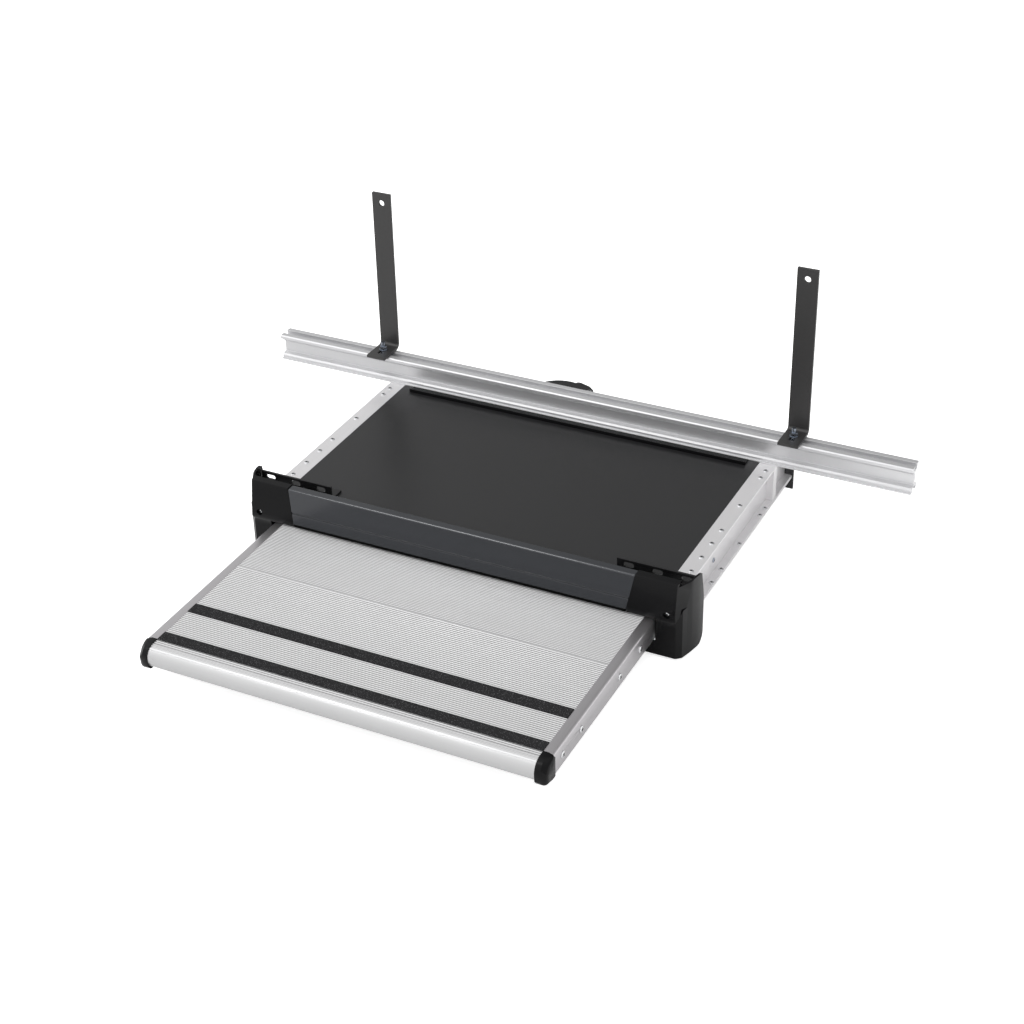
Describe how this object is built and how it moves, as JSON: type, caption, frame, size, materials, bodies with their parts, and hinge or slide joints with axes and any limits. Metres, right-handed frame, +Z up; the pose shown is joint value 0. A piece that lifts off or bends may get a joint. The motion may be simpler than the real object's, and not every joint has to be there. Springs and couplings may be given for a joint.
{
  "type": "caravan pull out step",
  "caption": "Pull out entrance step for a caravan: ribbed aluminium tread with black grip tapes in a flat black cassette, with slotted front brackets, rear beam and straps.",
  "frame": {"origin": "middle of the slot row in the two sill brackets, on the brackets' front faces", "axes": "+X to the right seen by someone facing the step, +Y from the step towards the vehicle's middle, +Z up"},
  "size_m": [0.975, 0.7983, 0.3605],
  "materials": {
    "tread_aluminium": "satin",
    "rail_aluminium": "satin",
    "bright_aluminium": "satin",
    "grip": "rough",
    "black_plastic": "matte",
    "white_nylon": "matte",
    "panel_paint": "satin",
    "fascia_finish": "satin",
    "black_steel": "satin",
    "plate_paint": "satin",
    "zinc": "satin",
    "gear_steel": "satin",
    "brass": "satin",
    "gearbox_black": "matte",
    "motor_black": "satin"
  },
  "bodies": {
    "cassette": {"top_panel": "panel_paint", "rear_clamp_strip": "black_plastic", "side_rail_left": "bright_aluminium", "side_rail_right": "bright_aluminium", "top_flange_left": "bright_aluminium", "top_flange_right": "bright_aluminium", "bottom_flange_left": "bright_aluminium", "bottom_flange_right": "bright_aluminium", "flange_screws": "zinc", "uplift_guide_left": "zinc", "uplift_guide_right": "zinc", "guide_screws": "zinc", "end_plate_left": "black_steel", "end_plate_right": "black_steel", "roller_bracket_left": "black_steel", "roller_bracket_right": "black_steel", "fascia": "fascia_finish", "fascia_screws": "zinc", "wiper_strip": "black_plastic", "end_cover_left": "black_plastic", "end_cover_right": "black_plastic", "cover_screws": "zinc", "sill_bracket_left": "black_steel", "sill_bracket_right": "black_steel", "bracket_screws": "zinc", "rear_gusset_left": "bright_aluminium", "rear_gusset_right": "bright_aluminium", "rear_plate": "plate_paint", "beam": "bright_aluminium", "beam_bolts": "zinc", "strap_left": "black_steel", "strap_right": "black_steel", "strap_bolts": "zinc", "motor_plate": "plate_paint", "plate_screws": "zinc", "gearbox_housing": "gearbox_black", "gearbox_lid": "gearbox_black", "lid_screws": "zinc", "motor": "motor_black"},
    "tread": {"tread_plank_front": "tread_aluminium", "tread_plank_rear": "tread_aluminium", "grip_tape_front": "grip", "grip_tape_rear": "grip", "tread_rail_left": "rail_aluminium", "tread_rail_right": "rail_aluminium", "nose_cap_left": "black_plastic", "nose_cap_right": "black_plastic", "rail_screws": "zinc", "rear_crossbar": "zinc", "rear_axles": "zinc"},
    "crank": {"crank_shaft": "zinc", "crank_arm": "zinc", "crank_pin": "zinc", "main_gear": "gear_steel"},
    "crank_roller": {"crank_roller": "white_nylon"},
    "motor_pinion": {"motor_pinion": "brass"},
    "rear_roller_left": {"rear_roller_left": "white_nylon"},
    "rear_roller_right": {"rear_roller_right": "white_nylon"},
    "front_roller_left": {"front_roller_left": "white_nylon"},
    "front_roller_right": {"front_roller_right": "white_nylon"}
  },
  "joints": [
    {"name": "crank_turn", "type": "hinge", "parent": "cassette", "child": "crank", "pos_m": [-0.059, 0.394, -0.0335], "axis": [0, 0, 1], "range_deg": [0, 86.77]},
    {"name": "tread_slide", "type": "slide", "parent": "cassette", "child": "tread", "axis": [0, 1, 0], "range_m": [0, 0.285]},
    {"name": "pinion_turn", "type": "hinge", "parent": "cassette", "child": "motor_pinion", "pos_m": [-0.03872, 0.42296, -0.02], "axis": [0, 0, 1], "range_deg": [-348, 0]},
    {"name": "crank_roller_turn", "type": "hinge", "parent": "crank", "child": "crank_roller", "pos_m": [-0.059, 0.092, -0.0386], "axis": [0, 0, 1], "continuous": true},
    {"name": "rear_roller_left_turn", "type": "hinge", "parent": "tread", "child": "rear_roller_left", "pos_m": [-0.28025, 0.097, -0.0594], "axis": [-1, 0, 0], "continuous": true},
    {"name": "rear_roller_right_turn", "type": "hinge", "parent": "tread", "child": "rear_roller_right", "pos_m": [0.28025, 0.097, -0.0594], "axis": [-1, 0, 0], "continuous": true},
    {"name": "front_roller_left_turn", "type": "hinge", "parent": "cassette", "child": "front_roller_left", "pos_m": [-0.2685, -0.016, -0.0796], "axis": [-1, 0, 0], "continuous": true},
    {"name": "front_roller_right_turn", "type": "hinge", "parent": "cassette", "child": "front_roller_right", "pos_m": [0.2685, -0.016, -0.0796], "axis": [-1, 0, 0], "continuous": true}
  ],
  "couplings": [
    {"joint": "tread_slide", "follows": "crank_turn", "m_per_rad": 0.18819},
    {"joint": "pinion_turn", "follows": "crank_turn", "ratio": -4}
  ]
}
